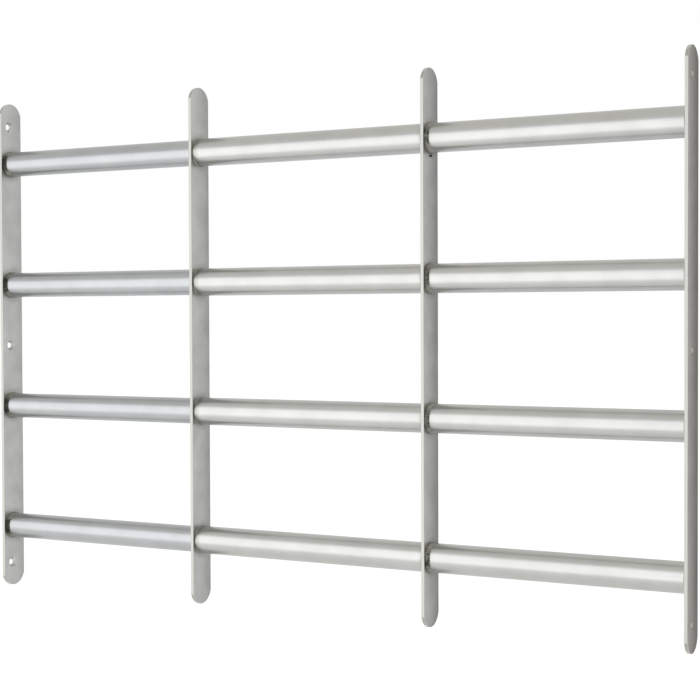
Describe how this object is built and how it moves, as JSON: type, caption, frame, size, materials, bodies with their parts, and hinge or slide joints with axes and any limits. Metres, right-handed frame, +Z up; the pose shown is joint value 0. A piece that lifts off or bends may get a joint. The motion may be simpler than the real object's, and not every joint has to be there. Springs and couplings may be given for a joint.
{
  "type": "extendable window security grille",
  "caption": "Telescopic steel window grille: round bars between upright flats with countersunk screw holes, adjustable in width to bar a window opening.",
  "frame": {"origin": "middle of the grille's box with the grille pulled out to its full width", "axes": "+X along the width towards the fixed section's wall flat, +Z up along the flats, -Y is the front"},
  "size_m": [0.65, 0.027, 0.45],
  "materials": {
    "flat_steel": "bright zinc-plated flat steel, satin, faintly blotched",
    "inner_tube_steel": "zinc-plated drawn tube, semi-gloss, slightly bluish",
    "outer_tube_steel": "zinc-plated drawn tube, semi-gloss, slightly warm",
    "weld_steel": "plated-over fillet weld bead, darker and rippled"
  },
  "bodies": {
    "main_section": {"guide_flat": "flat_steel", "middle_flat": "flat_steel", "right_flat": "flat_steel", "centre_tube_1": "outer_tube_steel", "centre_tube_2": "outer_tube_steel", "centre_tube_3": "outer_tube_steel", "centre_tube_4": "outer_tube_steel", "right_tube_1": "outer_tube_steel", "right_tube_2": "outer_tube_steel", "right_tube_3": "outer_tube_steel", "right_tube_4": "outer_tube_steel", "guide_flat_welds": "weld_steel", "middle_flat_welds_left": "weld_steel", "middle_flat_welds_right": "weld_steel", "right_flat_welds": "weld_steel"},
    "sliding_section": {"left_flat": "flat_steel", "inner_tube_1": "inner_tube_steel", "inner_tube_2": "inner_tube_steel", "inner_tube_3": "inner_tube_steel", "inner_tube_4": "inner_tube_steel", "left_flat_welds": "weld_steel"}
  },
  "joints": [
    {"name": "width_slide", "type": "slide", "parent": "main_section", "child": "sliding_section", "axis": [1, 0, 0], "range_m": [0, 0.15]}
  ]
}
